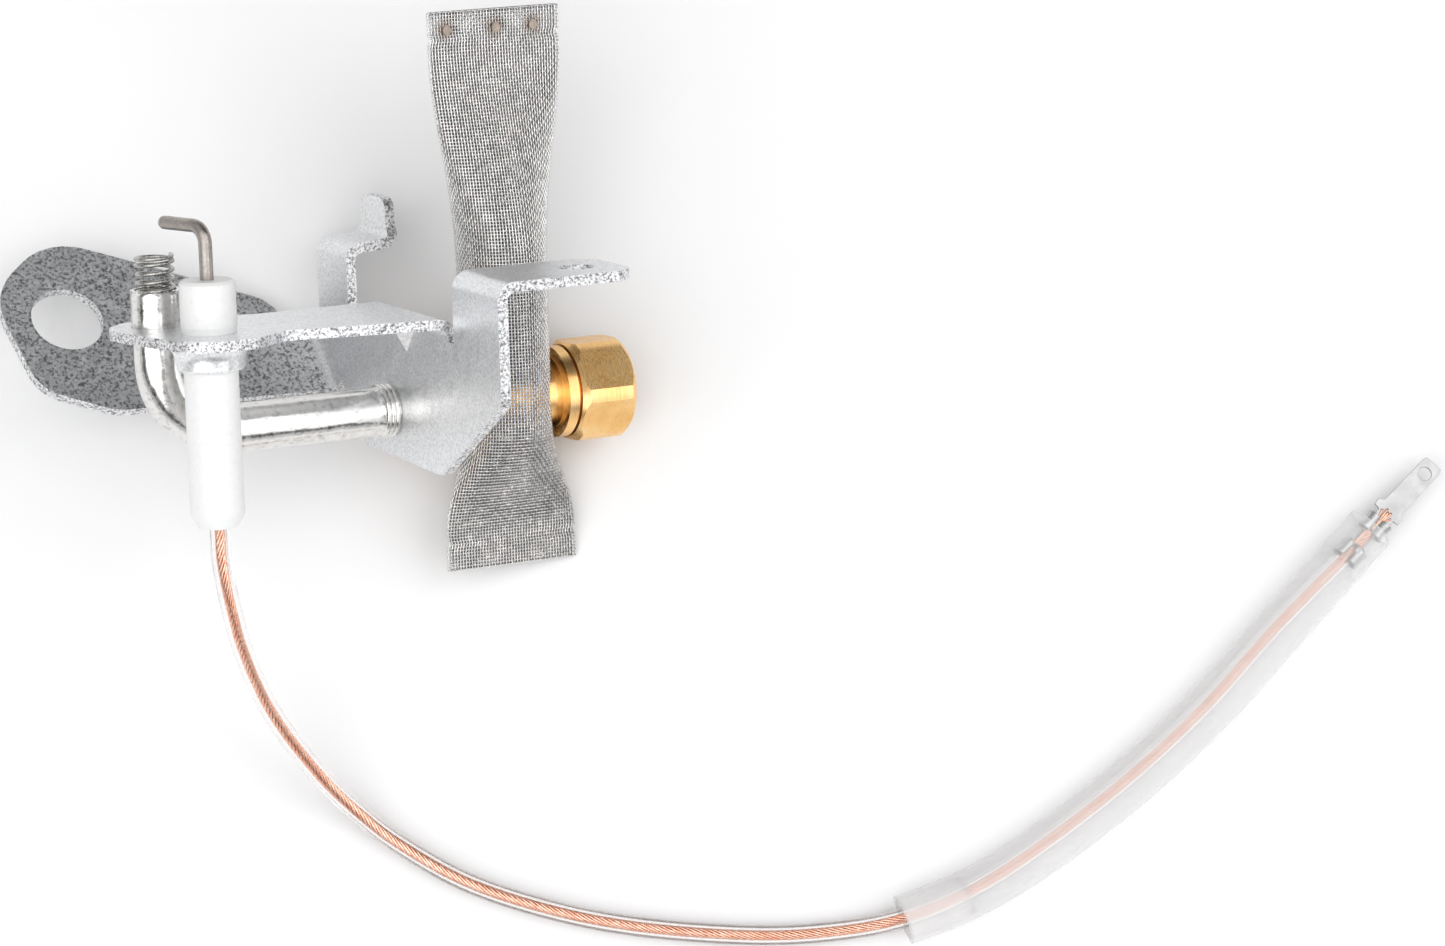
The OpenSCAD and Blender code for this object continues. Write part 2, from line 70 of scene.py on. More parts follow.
def unit(v):
    """Each row of v, scaled to length 1."""
    return v / np.maximum(np.linalg.norm(v, axis=-1, keepdims=True), 1e-12)


# ---- camera, floor and light ------------------------------------------------

def set_camera():
    """A long lens from above and slightly in front, as in a catalogue picture."""
    data = bpy.data.cameras.new("camera")
    data.lens, data.sensor_width = 120.2, 36.0
    data.clip_start, data.clip_end = 0.02, 20
    cam = bpy.data.objects.new("camera", data)
    scene.collection.objects.link(cam)
    right = Vector((0.9748, -0.2128, 0.0665)).normalized()
    back = Vector((-0.1049, -0.1747, 0.9790)).normalized()
    up = back.cross(right).normalized()
    right = up.cross(back)
    m = Matrix((right, up, back)).transposed().to_4x4()
    m.translation = Vector((-0.0168, -0.1302, 0.5898))
    cam.matrix_world = m
    scene.camera = cam


def area_light(name, at, aim, size, power):
    data = bpy.data.lights.new(name, "AREA")
    data.shape, data.size, data.size_y = "RECTANGLE", size[0], size[1]
    data.energy = power
    lamp = bpy.data.objects.new(name, data)
    scene.collection.objects.link(lamp)
    lamp.location = at
    lamp.rotation_euler = (Vector(aim) - Vector(at)).to_track_quat("-Z", "Y").to_euler()


def set_world():
    """Soft light in bands from below to overhead, which the bright metal mirrors."""
    world = bpy.data.worlds.new("studio")
    scene.world = world
    world.use_nodes = True
    nodes, links = world.node_tree.nodes, world.node_tree.links
    nodes.clear()
    coord = nodes.new("ShaderNodeTexCoord")
    split = nodes.new("ShaderNodeSeparateXYZ")
    ramp = nodes.new("ShaderNodeValToRGB")
    shade = nodes.new("ShaderNodeBackground")
    out = nodes.new("ShaderNodeOutputWorld")
    links.new(coord.outputs["Generated"], split.inputs[0])
    links.new(split.outputs["Z"], ramp.inputs[0])
    # A dark card that the mounting ear faces.
    card = nodes.new("ShaderNodeVectorMath")
    card.operation = "DOT_PRODUCT"
    card.inputs[1].default_value = Vector((0.64, 0.69, 0.35)).normalized()
    edge = nodes.new("ShaderNodeMapRange")
    edge.inputs["From Min"].default_value, edge.inputs["From Max"].default_value = 0.70, 0.93
    edge.inputs["To Min"].default_value, edge.inputs["To Max"].default_value = 1.0, 0.30
    mix = nodes.new("ShaderNodeVectorMath")
    mix.operation = "SCALE"
    links.new(coord.outputs["Generated"], card.inputs[0])
    links.new(card.outputs["Value"], edge.inputs["Value"])
    links.new(ramp.outputs["Color"], mix.inputs[0])
    links.new(edge.outputs["Result"], mix.inputs["Scale"])
    links.new(mix.outputs[0], shade.inputs["Color"])
    links.new(shade.outputs[0], out.inputs[0])
    stops = [(0.0, 0.5), (0.08, 0.85), (0.22, 0.10), (0.36, 0.14), (0.46, 0.75),
             (0.62, 0.62), (0.74, 0.28), (0.86, 0.75), (1.0, 1.0)]
    while len(ramp.color_ramp.elements) < len(stops):
        ramp.color_ramp.elements.new(0.5)
    for e, (p, v) in zip(ramp.color_ramp.elements, stops):
        e.position, e.color = p, (v, v, v * 1.01, 1)
    shade.inputs["Strength"].default_value = 1.0


def set_floor():
    bpy.ops.mesh.primitive_plane_add(size=3, location=(0, 0, -0.0002))
    floor = bpy.context.object
    floor.name = "floor"
    m = bpy.data.materials.new("paper")
    m.use_nodes = True
    bsdf = m.node_tree.nodes["Principled BSDF"]
    bsdf.inputs["Base Color"].default_value = (0.93, 0.93, 0.93, 1)
    bsdf.inputs["Roughness"].default_value = 0.9
    bsdf.inputs["Specular IOR Level"].default_value = 0.1
    floor.data.materials.append(m)


set_camera()
set_world()
set_floor()
area_light("key", (-0.30, -0.22, 0.60), (0, 0, 0), (0.70, 0.8), 2.7)
area_light("fill", (0.45, -0.1, 0.6), (0.03, -0.02, 0), (0.7, 0.6), 1.8)
area_light("front", (0.42, -0.42, 0.36), (0.02, -0.01, 0), (0.22, 0.36), 0.24)
scene.view_settings.view_transform = "Standard"
scene.view_settings.look = "None"
scene.view_settings.exposure = 0.0
# The milky sleeves lie in each other, and light passes many of their skins.
scene.cycles.transparent_max_bounces = 32


# ---- materials ---------------------------------------------------------------

class Look:
    """A material built from nodes, with short names for the usual ones."""

    def __init__(self, name, colour, rough, metal=0.0, **sockets):
        self.m = bpy.data.materials.new(name)
        self.m.use_nodes = True
        self.t = self.m.node_tree
        self.b = self.t.nodes["Principled BSDF"]
        self.b.inputs["Base Color"].default_value = (*colour, 1)
        self.b.inputs["Roughness"].default_value = rough
        self.b.inputs["Metallic"].default_value = metal
        for key, value in sockets.items():
            self.b.inputs[key.replace("_", " ")].default_value = value

    def node(self, kind, **values):
        n = self.t.nodes.new("ShaderNode" + kind)
        for key, value in values.items():
            setattr(n, key, value)
        return n

    def link(self, a, b):
        self.t.links.new(a, b)
        return a

    def coord(self):
        return self.node("TexCoord").outputs["Object"]

    def math(self, kind, a, b=None, clamp=False):
        n = self.node("Math", operation=kind, use_clamp=clamp)
        for socket, v in zip(n.inputs, (a, b)):
            if v is None:
                continue
            if isinstance(v, (int, float)):
                socket.default_value = v
            else:
                self.link(v, socket)
        return n.outputs[0]

    def noise(self, scale, detail=2.0, rough=0.5, vector=None):
        n = self.node("TexNoise")
        n.inputs["Scale"].default_value = scale
        n.inputs["Detail"].default_value = detail
        n.inputs["Roughness"].default_value = rough
        self.link(vector or self.coord(), n.inputs["Vector"])
        return n.outputs["Fac"]

    def ramp(self, fac, stops):
        """Greys or colours by position along fac."""
        n = self.node("ValToRGB")
        while len(n.color_ramp.elements) < len(stops):
            n.color_ramp.elements.new(0.5)
        for e, (p, c) in zip(n.color_ramp.elements, stops):
            e.position = p
            e.color = (c, c, c, 1) if isinstance(c, (int, float)) else (*c, 1)
        self.link(fac, n.inputs[0])
        return n.outputs["Color"]

    def to(self, output, socket):
        """Link an output to one of the shader's sockets."""
        self.link(output, self.b.inputs[socket])

    def bump(self, height, strength, distance):
        """Add relief on top of what the shader's normal already has."""
        n = self.node("Bump")
        n.inputs["Strength"].default_value = strength
        n.inputs["Distance"].default_value = distance
        self.link(height, n.inputs["Height"])
        previous = self.b.inputs["Normal"].links
        if previous:
            self.link(previous[0].from_socket, n.inputs["Normal"])
        self.link(n.outputs[0], self.b.inputs["Normal"])

    def turned(self):
        """A vector that is constant round the gas inlet's axis, for lathe marks."""
        shift = self.node("VectorMath", operation="SUBTRACT")
        self.link(self.coord(), shift.inputs[0])
        shift.inputs[1].default_value = ORIGIN
        dot = self.node("VectorMath", operation="DOT_PRODUCT")
        self.link(shift.outputs[0], dot.inputs[0])
        dot.inputs[1].default_value = AX
        size = self.node("VectorMath", operation="LENGTH")
        self.link(shift.outputs[0], size.inputs[0])
        along = dot.outputs["Value"]
        square = self.math("MULTIPLY", size.outputs["Value"], size.outputs["Value"])
        round_ = self.math("SUBTRACT", square, self.math("MULTIPLY", along, along))
        pack = self.node("CombineXYZ")
        self.link(along, pack.inputs[0])
        self.link(self.math("SQRT", self.math("MAXIMUM", round_, 0.0)), pack.inputs[1])
        return pack.outputs[0]


def zinc(name, edge=False, sparkle_and_shade=0.0):
    """Zinc-plated sheet: plain, torn along a cut edge, or with a coarse sparkle whose dark
    specks are painted shade.
    """
    k = Look(name, (0.80, 0.81, 0.82), 0.28, 1.0)
    grain = k.noise(3000 - 800 * sparkle_and_shade, 3, 0.7)
    soft = k.noise(800, 3, 0.55)
    wide = k.noise(110, 2)
    if edge:
        chips = k.noise(2900, 4, 0.8)
        k.to(k.ramp(chips, [(0.41, (0.16, 0.16, 0.17)), (0.47, (0.52, 0.52, 0.53)),
             (0.53, (0.88, 0.88, 0.89))]), "Base Color")
        k.to(k.ramp(grain, [(0.3, 0.3), (0.7, 0.55)]), "Roughness")
        k.bump(chips, 0.6, 0.00009)
        return k.m
    # Where sparkle is set, the darker specks are painted shade: the ear's base colour darkens to
    # stand in for the dark surroundings it reflects.
    dark = 0.70 - 0.42 * sparkle_and_shade
    k.to(k.ramp(grain, [(0.40, (dark, dark * 1.01, dark * 1.03)), (0.50, (0.84, 0.85, 0.86)),
         (0.60, (0.93, 0.94, 0.95))]), "Base Color")
    k.to(k.ramp(soft, [(0.3, 0.30), (0.7, 0.46)]), "Roughness")
    k.bump(grain, 0.3 + 0.5 * sparkle_and_shade, 0.00004 + 0.00009 * sparkle_and_shade)
    k.bump(soft, 0.16, 0.00012)
    k.bump(wide, 0.22, 0.0010)
    return k.m


def nickel(name):
    """Bright plating with fine pits."""
    k = Look(name, (0.74, 0.73, 0.71), 0.12, 1.0)
    pits = k.noise(1500, 4, 0.6)
    k.to(k.ramp(pits, [(0.35, 0.09), (0.7, 0.22)]), "Roughness")
    k.to(k.ramp(pits, [(0.32, (0.52, 0.51, 0.49)), (0.44, (0.74, 0.73, 0.71)),
         (0.72, (0.84, 0.83, 0.81))]), "Base Color")
    k.bump(pits, 0.35, 0.00007)
    k.bump(k.noise(300, 2), 0.25, 0.0004)
    return k.m


def brass(name):
    """Turned brass with lathe marks and slight staining."""
    k = Look(name, (0.90, 0.62, 0.29), 0.2, 1.0)
    lathe = k.turned()
    fine = k.noise(9000, 2, 0.5, lathe)
    broad = k.noise(1400, 2, 0.5, lathe)
    stain = k.noise(260, 4, 0.6)
    k.to(k.ramp(stain, [(0.30, (0.84, 0.48, 0.17)), (0.5, (0.95, 0.59, 0.24)),
         (0.72, (0.98, 0.67, 0.33))]), "Base Color")
    k.to(k.ramp(fine, [(0.3, 0.20), (0.7, 0.36)]), "Roughness")
    k.bump(fine, 0.08, 0.00003)
    k.bump(broad, 0.06, 0.00008)
    return k.m


def steel(name, colour, rough, scale=4000):
    """Drawn wire, with darker drawing marks."""
    k = Look(name, colour, rough, 1.0)
    dark = tuple(c * 0.75 for c in colour)
    k.to(k.ramp(k.noise(scale, 3, 0.6), [(0.3, dark), (0.65, colour)]), "Base Color")
    k.to(k.ramp(k.noise(scale / 3, 2), [(0.3, rough * 0.7), (0.7, rough * 1.5)]), "Roughness")
    k.bump(k.noise(scale, 3, 0.6), 0.12, 0.00003)
    return k.m


def woven(name, spots, bright=1.0):
    """Fine steel wire, burnt brown around the weld spots; with bright well below 1 it is nearly
    black, as painted shade.
    """
    k = Look(name, (0.6, 0.59, 0.57), 0.28, 1.0)
    tint = k.ramp(k.noise(900, 3, 0.6), [(0.3, (0.62 * bright, 0.61 * bright, 0.60 * bright)),
                  (0.7, (0.84 * bright, 0.83 * bright, 0.82 * bright))])
    near = None
    for spot in spots:
        far = k.node("VectorMath", operation="DISTANCE")
        k.link(k.coord(), far.inputs[0])
        far.inputs[1].default_value = spot
        near = far.outputs["Value"] if near is None else k.math(
            "MINIMUM", near, far.outputs["Value"])
    heat = k.ramp(k.math("MULTIPLY", near, 1 / 0.0019, True), [(0.15, 0.65), (0.9, 0.0)])
    mix = k.node("Mix", data_type="RGBA")
    k.link(heat, mix.inputs["Factor"])
    k.link(tint, mix.inputs["A"])
    mix.inputs["B"].default_value = (0.30, 0.20, 0.13, 1)
    k.to(mix.outputs["Result"], "Base Color")
    k.to(k.ramp(k.noise(1800, 2), [(0.3, 0.16), (0.7, 0.30)]), "Roughness")
    return k.m


def ceramic(name):
    """Unglazed alumina with faint specks."""
    k = Look(name, (0.90, 0.90, 0.89), 0.45, 0.0, Subsurface_Weight=0.08,
             Subsurface_Scale=0.0015)
    specks = k.noise(1700, 4, 0.7)
    k.to(k.ramp(specks, [(0.28, (0.78, 0.78, 0.775)), (0.38, (0.85, 0.85, 0.845)),
         (0.7, (0.89, 0.89, 0.885))]), "Base Color")
    k.to(k.ramp(k.noise(1500, 3), [(0.3, 0.38), (0.7, 0.52)]), "Roughness")
    k.bump(k.noise(4200, 3, 0.6), 0.12, 0.00004)
    k.bump(k.noise(900, 2), 0.04, 0.0001)
    return k.m


def clear(name):
    """Clear silicone with a slightly uneven skin."""
    k = Look(name, (1.0, 0.965, 0.95), 0.06, 0.0, Transmission_Weight=1.0, IOR=1.38)
    k.to(k.ramp(k.noise(500, 3), [(0.3, 0.03), (0.7, 0.12)]), "Roughness")
    k.bump(k.noise(700, 2), 0.05, 0.0002)
    return k.m


def milky(name, colour, rough, cover, rim=0.25):
    """A cloudy, half-clear skin; cover is the part of what is behind it that it hides."""
    k = Look(name, colour, rough, 0.0, IOR=1.35)
    k.to(k.ramp(k.noise(200, 3, 0.5), [(0.3, tuple(c * 0.985 for c in colour)), (0.7, colour)]),
         "Base Color")
    k.to(k.ramp(k.noise(300, 3), [(0.3, rough * 0.85), (0.7, rough * 1.15)]), "Roughness")
    facing = k.node("LayerWeight").outputs["Facing"]
    cloud = k.ramp(k.noise(120, 3, 0.5), [(0.35, cover * 0.96), (0.65, cover * 1.04)])
    k.to(k.math("ADD", cloud, k.math("MULTIPLY", k.math("POWER", facing, 5.0), rim), True),
         "Alpha")
    k.bump(k.noise(900, 3, 0.6), 0.04, 0.0001)
    return k.m


def sheet_metal(name, colour, rough):
    """Tinned strip, satin."""
    k = Look(name, colour, rough, 1.0)
    k.to(k.ramp(k.noise(1200, 3, 0.6), [(0.3, tuple(c * 0.92 for c in colour)), (0.7, colour)]),
         "Base Color")
    k.to(k.ramp(k.noise(800, 2), [(0.3, rough * 0.85), (0.7, rough * 1.2)]), "Roughness")
    k.bump(k.noise(1500, 3, 0.5), 0.05, 0.00003)
    return k.m


def copper(name):
    """Bare copper strands."""
    k = Look(name, (0.95, 0.58, 0.43), 0.24, 1.0)
    k.to(k.ramp(k.noise(1400, 3), [(0.3, (0.88, 0.44, 0.30)), (0.7, (0.99, 0.70, 0.56))]),
         "Base Color")
    k.to(k.ramp(k.noise(3000, 2), [(0.3, 0.16), (0.7, 0.34)]), "Roughness")
    return k.m


def resin(name):
    """Off-white potting."""
    k = Look(name, (0.86, 0.85, 0.82), 0.4, 0.0, Subsurface_Weight=0.3,
             Subsurface_Scale=0.002)
    k.to(k.ramp(k.noise(1200, 3), [(0.3, (0.78, 0.77, 0.74)), (0.7, (0.88, 0.87, 0.85))]),
         "Base Color")
    k.bump(k.noise(1500, 2), 0.1, 0.0001)
    return k.m


# ---- mesh helpers ------------------------------------------------------------

def add(name, verts, faces, material, body, replaces=()):
    """A smooth mesh piece that rides on a body."""
    mesh = bpy.data.meshes.new(name)
    mesh.from_pydata([tuple(v) for v in verts], [], [tuple(f) for f in faces])
    mesh.validate()
    mesh.shade_smooth()
    mesh.materials.append(material)
    obj = bpy.data.objects.new(name, mesh)
    scene.collection.objects.link(obj)
    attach(obj, body)
    if replaces:
        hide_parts(*replaces)
    return obj


def frames(path, first=(0, 0, 1)):
    """Two unit vectors across a path at each of its points, without twist."""
    p = np.asarray(path, float)
    t = np.empty_like(p)
    t[1:-1] = p[2:] - p[:-2]
    t[0], t[-1] = p[1] - p[0], p[-1] - p[-2]
    t = unit(t)
    u = np.empty_like(p)
    ref = np.array(first, float)
    for i in range(len(p)):
        ref = ref - t[i] * (ref @ t[i])
        ref /= np.linalg.norm(ref)
        u[i] = ref
    return u, np.cross(t, u)


def rings_of(path, radius, sides, first=(0, 0, 1)):
    """A ring of points around each point of a path; radius may vary along it."""
    u, v = frames(path, first)
    q = np.arange(sides) * FULL_TURN / sides
    r = np.broadcast_to(np.asarray(radius, float), (len(path),))[:, None, None]
    return (np.asarray(path)[:, None] + r * (np.cos(q)[None, :, None] * u[:, None]
            + np.sin(q)[None, :, None] * v[:, None]))


def walls(n, sides, base=0, flip=False):
    """Four-sided faces between n rings."""
    i, k = np.meshgrid(np.arange(n - 1), np.arange(sides), indexing="ij")
    k2 = (k + 1) % sides
    f = np.stack([i * sides + k, i * sides + k2, (i + 1) * sides + k2,
                  (i + 1) * sides + k], -1).reshape(-1, 4) + base
    return f[:, ::-1].tolist() if flip else f.tolist()


def rod(path, radius, sides=16, first=(0, 0, 1)):
    """A solid round bar along a path."""
    rings = rings_of(path, radius, sides, first)
    n = len(rings)
    faces = walls(n, sides)
    faces.append(list(range(sides))[::-1])
    faces.append(list(range((n - 1) * sides, n * sides)))
    return rings.reshape(-1, 3), faces


def shell(path, outer, inner, sides):
    """A hollow tube along a path, with flat ring ends."""
    a = rings_of(path, outer, sides).reshape(-1, 3)
    b = rings_of(path, inner, sides).reshape(-1, 3)
    n, base = len(path), len(a)
    faces = walls(n, sides) + walls(n, sides, base, True)
    for row, turn in ((0, True), (n - 1, False)):
        for k in range(sides):
            k2 = (k + 1) % sides
            f = [row * sides + k, row * sides + k2, base + row * sides + k2,
                 base + row * sides + k]
            faces.append(f[::-1] if not turn else f)
    return np.concatenate([a, b]), faces


def joined(parts):
    """Several meshes as one."""
    verts, faces, base = [], [], 0
    for v, f in parts:
        verts.append(np.asarray(v))
        faces += [[i + base for i in face] for face in f]
        base += len(v)
    return np.concatenate(verts), faces


def curve_through(points, per):
    """A Catmull-Rom curve through points, per steps to each stretch."""
    p = np.asarray(points, float)
    last = len(p) - 1
    out = []
    for i in range(last):
        m0 = p[1] - p[0] if i == 0 else (p[i + 1] - p[i - 1]) / 2
        m1 = p[last] - p[last - 1] if i == last - 1 else (p[i + 2] - p[i]) / 2
        for t in np.arange(per + (i == last - 1)) / per:
            out.append((2 * t**3 - 3 * t**2 + 1) * p[i] + (t**3 - 2 * t**2 + t) * m0
                       + (3 * t**2 - 2 * t**3) * p[i + 1] + (t**3 - t**2) * m1)
    return np.array(out)


def soften(obj, width, angle=35, segments=2):
    """Ease the edges that are sharper than angle."""
    m = obj.modifiers.new("edges", "BEVEL")
    m.width, m.segments = width, segments
    m.limit_method, m.angle_limit = "ANGLE", math.radians(angle)


def dress(node, material, bevel=0.0):
    """Give a CAD piece its material and eased edges."""
    obj = frame["nodes"][node]
    if obj.material_slots:
        for s in obj.material_slots:
            s.material = material
    else:
        obj.data.materials.append(material)
    if bevel:
        soften(obj, bevel)


# ---- the lead: its route, copper core, jacket and sleeves ---------------------

ROUTE = np.array([
    [-16.1, -23.6, 31.2], [-16.3, -25.6, 30.4], [-16.7, -28.5, 29.2], [-16.8, -31.5, 27.6],
    [-16.7, -34.5, 25.1], [-16.5, -37.2, 22.3], [-15.9, -40.4, 18.6], [-14.9, -43.9, 14.5],
    [-13.4, -47.3, 10.9], [-11.6, -50.5, 7.8], [-9.4, -54, 4.9], [-6.4, -57.9, 2.6],
    [-2.3, -62.5, 1.5], [5.1, -68.9, 1.3], [15.1, -74.6, 1.3], [25.5, -78.8, 1.3],
    [38.3, -82.4, 1.3], [48, -83.9, 1.4], [56, -84.1, 2], [63.8, -82.8, 2.4],
    [72.6, -79.8, 2.6], [85.6, -73.8, 2.7], [97.9, -66.7, 2.7], [110, -58.1, 2.8],
    [122, -50.4, 2.9]]) * MM
SLEEVE = np.array([
    [55.9, -84.4, 3.2], [63.8, -83.1, 3.2], [72.8, -80.2, 3.2], [85.8, -74.3, 3.2],
    [98.2, -67.1, 3.2], [110.3, -58.5, 3.2], [124.1, -48.6, 3.2]]) * MM
TURN = math.radians(34)  # the terminal's heading
LEAD_END = ROUTE[-1]
HEAD = np.array([math.cos(TURN), math.sin(TURN), 0])

LOOSE_ROWS = 16  # where the outer sleeve stands off the inner one
LAST_ROW = 91
SIDES = 48

lead_line = curve_through(ROUTE, 10)
sleeve_line = curve_through(SLEEVE, 16)


def make_core():
    """Twisted bundles of copper strands, with their cut ends past the crimp."""
    past = LEAD_END + HEAD * np.linspace(0.2, 2.6, 8)[:, None] * MM
    line = np.concatenate([lead_line, past])
    u, v = frames(line)
    step = np.concatenate([[0], np.cumsum(np.linalg.norm(np.diff(line, axis=0), axis=1))])
    dense = np.linspace(0, step[-1], int(step[-1] / (0.45 * MM)))
    at = np.stack([np.interp(dense, step, line[:, i]) for i in range(3)], 1)
    uu = unit(np.stack([np.interp(dense, step, u[:, i]) for i in range(3)], 1))
    vv = unit(np.stack([np.interp(dense, step, v[:, i]) for i in range(3)], 1))
    lay = 7.5 * MM
    twist = dense / lay * FULL_TURN
    parts = []
    for count, radius, wire, phase in ((9, 0.47, 0.155, 0.0), (4, 0.2, 0.14, 0.4)):
        for i in range(count):
            a = twist + phase + FULL_TURN * i / count
            path = at + radius * MM * (np.cos(a)[:, None] * uu + np.sin(a)[:, None] * vv)
            parts.append(rod(path, wire * MM, 6))
    return joined(parts)


def inside(obj, sides, bore, rim, loose=None):
    """Give a shell's bore and its ring ends their own materials.

    With loose, the first LOOSE_ROWS rows of the bore get it; without, the first
    row of the outside belongs to the rim.
    """
    for look in (bore, rim, loose):
        if look:
            obj.data.materials.append(look)
    half = len(obj.data.vertices) // 2
    for face in obj.data.polygons:
        low, high = min(face.vertices), max(face.vertices)
        if low >= half:
            face.material_index = 3 if loose and low < half + LOOSE_ROWS * sides else 1
        elif high >= half or (not loose and high < 2 * sides):
            face.material_index = 2


def make_lead():
    """The lead's core and jacket, and its two sleeves."""
    verts, faces = make_core()
    core = add("copper_strands", verts, faces, copper("copper_wire"), "burner",
               replaces=["lead_core"])
    verts, faces = shell(lead_line, 1.2 * MM, 0.68 * MM, 32)
    jacket = add("lead_skin", verts, faces, clear("clear_silicone"), "burner",
                 replaces=["lead_jacket"])
    verts, faces = shell(sleeve_line, 3.1 * MM, 2.62 * MM, SIDES)
    outer = add("sleeve_outer", verts, faces,
                milky("milky_silicone", (0.98, 0.98, 0.98), 0.30, 0.29), "burner",
                replaces=["insulating_sleeve"])
    inside(outer, SIDES, milky("milky_silicone_bore", (0.97, 0.97, 0.975), 0.30, 0.03, 0.05),
           milky("milky_silicone_end", (0.90, 0.90, 0.90), 0.30, 0.6),
           milky("milky_silicone_loose", (0.97, 0.95, 0.95), 0.40, 0.42, 0.05))
    verts, faces = shell(sleeve_line[LOOSE_ROWS:LAST_ROW], 2.5 * MM, 2.15 * MM, SIDES)
    inner = add("sleeve_inner", verts, faces,
                milky("milky_liner", (0.98, 0.98, 0.98), 0.22, 0.12, 0.12), "burner",
                replaces=["inner_sleeve"])
    inside(inner, SIDES, milky("milky_liner_bore", (0.97, 0.97, 0.975), 0.22, 0.02, 0.03),
           milky("milky_liner_end", (0.60, 0.58, 0.58), 0.30, 0.55))
    return core, jacket, outer, inner


def flat_plate(name, outlines, thick, bevel, matrix, material, replaces):
    """A plate cut from flat outlines, the first one outside, with eased edges."""
    data = bpy.data.curves.new(name, "CURVE")
    data.dimensions, data.fill_mode = "2D", "BOTH"
    data.extrude, data.bevel_depth, data.bevel_resolution = thick / 2 - bevel, bevel, 2
    data.offset = -bevel
    for line in outlines:
        s = data.splines.new("POLY")
        s.points.add(len(line) - 1)
        for point, (x, y) in zip(s.points, line):
            point.co = (x, y, 0, 1)
        s.use_cyclic_u = True
    tmp = bpy.data.objects.new(name, data)
    scene.collection.objects.link(tmp)
    mesh = bpy.data.meshes.new_from_object(tmp)
    bpy.data.objects.remove(tmp)
    mesh.name = name
    mesh.transform(matrix)
    mesh.shade_flat()
    mesh.materials.clear()
    mesh.materials.append(material)
    obj = bpy.data.objects.new(name, mesh)
    scene.collection.objects.link(obj)
    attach(obj, "burner")
    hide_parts(*replaces)
    return obj


def band(line, thick, x0, x1, flare=0.0, steps=5):
    """A strip bent to a profile (y, z) and extruded from x0 to x1, in mm."""
    p = np.asarray(line, float)
    t = unit(np.gradient(p, axis=0))
    n = np.stack([-t[:, 1], t[:, 0]], 1)
    loop = np.concatenate([p + n * thick / 2, (p - n * thick / 2)[::-1]])
    verts, count = [], len(loop)
    for s in np.linspace(0, 1, steps):
        swell = 1 + flare * (abs(2 * s - 1) ** 3)
        verts.append(np.column_stack([np.full(count, x0 + (x1 - x0) * s), loop * swell]))
    faces = walls(steps, count)
    half = count // 2
    for row, turn in ((0, False), (steps - 1, True)):
        for i in range(half - 1):
            f = [row * count + i, row * count + i + 1, row * count + count - 2 - i,
                 row * count + count - 1 - i]
            faces.append(f if turn else f[::-1])
    return np.concatenate(verts), faces


def at_terminal(points):
    """Points in the terminal's own axes, in mm, to the row frame."""
    p = np.asarray(points, float) * MM
    side = np.array([-HEAD[1], HEAD[0], 0])
    return LEAD_END + p[:, :1] * HEAD + p[:, 1:2] * side + p[:, 2:3] * np.array([0, 0, 1.0])


def make_terminal():
    """The flat blade, its two crimps and the core's cut ends."""
    tinned = sheet_metal("tinned_strip", (0.54, 0.54, 0.54), 0.42)
    low, tip = 5.4, 14.5
    outline = [(4.6, -1.1), (low, -1.2), (low + 0.1, -2.0), (low + 0.9, -2.05),
               (low + 1.25, -1.5), (low + 1.7, -1.4), (tip - 0.5, -1.4), (tip, -1.15),
               (tip, 1.15), (tip - 0.5, 1.4), (low + 1.7, 1.4), (low + 1.25, 1.5),
               (low + 0.9, 2.05), (low + 0.1, 2.0), (low, 1.2), (4.6, 1.1)]
    q = np.arange(40) * FULL_TURN / 40
    hole_at, hole_r = tip - 1.8, 0.87
    hole = [(hole_at + hole_r * math.cos(a), hole_r * math.sin(a)) for a in q]
    outlines = [[(x * MM, y * MM) for x, y in line] for line in (outline, hole)]
    m = Matrix.Translation(Vector(LEAD_END)) @ Matrix.Rotation(TURN, 4, "Z")
    blade = flat_plate("terminal_blade", outlines, 0.5 * MM, 0.06 * MM, m, tinned,
                       ["terminal_tab"])
    parts = []
    for s in (-1, 1):
        wing = curve_through([[0, -0.95], [s * 0.8, -0.98], [s * 1.3, -0.75], [s * 1.5, -0.2],
                              [s * 1.38, 0.4], [s * 0.95, 0.72], [s * 0.45, 0.62],
                              [s * 0.14, 0.2]], 4)
        parts.append(band(wing, 0.34, 2.3, 4.5, 0.10))
        grip = curve_through([[0, -1.5], [s * 0.9, -1.35], [s * 1.45, -0.8], [s * 1.62, 0],
                              [s * 1.5, 0.75], [s * 1.05, 1.3], [s * 0.55, 1.3]], 4)
        parts.append(band(grip, 0.34, -2.4, -0.4, 0.05))
    neck = [[0, -1.45], [0.55, -1.4], [0.75, -1.15]]
    for s in (-1, 1):
        parts.append(band([[s * y, z] for y, z in neck], 0.3, -0.5, 2.4))
    ramp = [[-0.95, -0.75], [-0.6, -1.0], [0, -1.1], [0.6, -1.0], [0.95, -0.75]]
    parts.append(band(ramp, 0.3, 4.4, 5.0))
    verts, faces = joined([(at_terminal(v), f) for v, f in parts])
    crimps = add("terminal_crimps", verts, faces, tinned, "burner")
    soften(crimps, 0.06 * MM, 40)
    ends = []
    for y, z, reach, lean in ((-0.55, 0.0, 5.4, -0.3), (-0.25, 0.28, 5.9, -0.12),
                              (0.0, 0.05, 5.5, 0.0), (0.2, 0.33, 6.0, 0.1),
                              (0.5, 0.05, 5.6, 0.3), (-0.05, 0.42, 5.7, 0.02)):
        path = curve_through([[2.5, y * 0.6, z * 0.5], [4.4, y * 0.9, z + 0.1],
                              [reach, y + lean, z + 0.28]], 5)
        ends.append(rod(at_terminal(path), 0.15 * MM, 8))
    verts, faces = joined(ends)
    strands = add("strand_ends", verts, faces, copper("copper_cut"), "burner")
    return blade, crimps, strands


core, jacket, outer, inner = make_lead()
blade, crimps, strands = make_terminal()


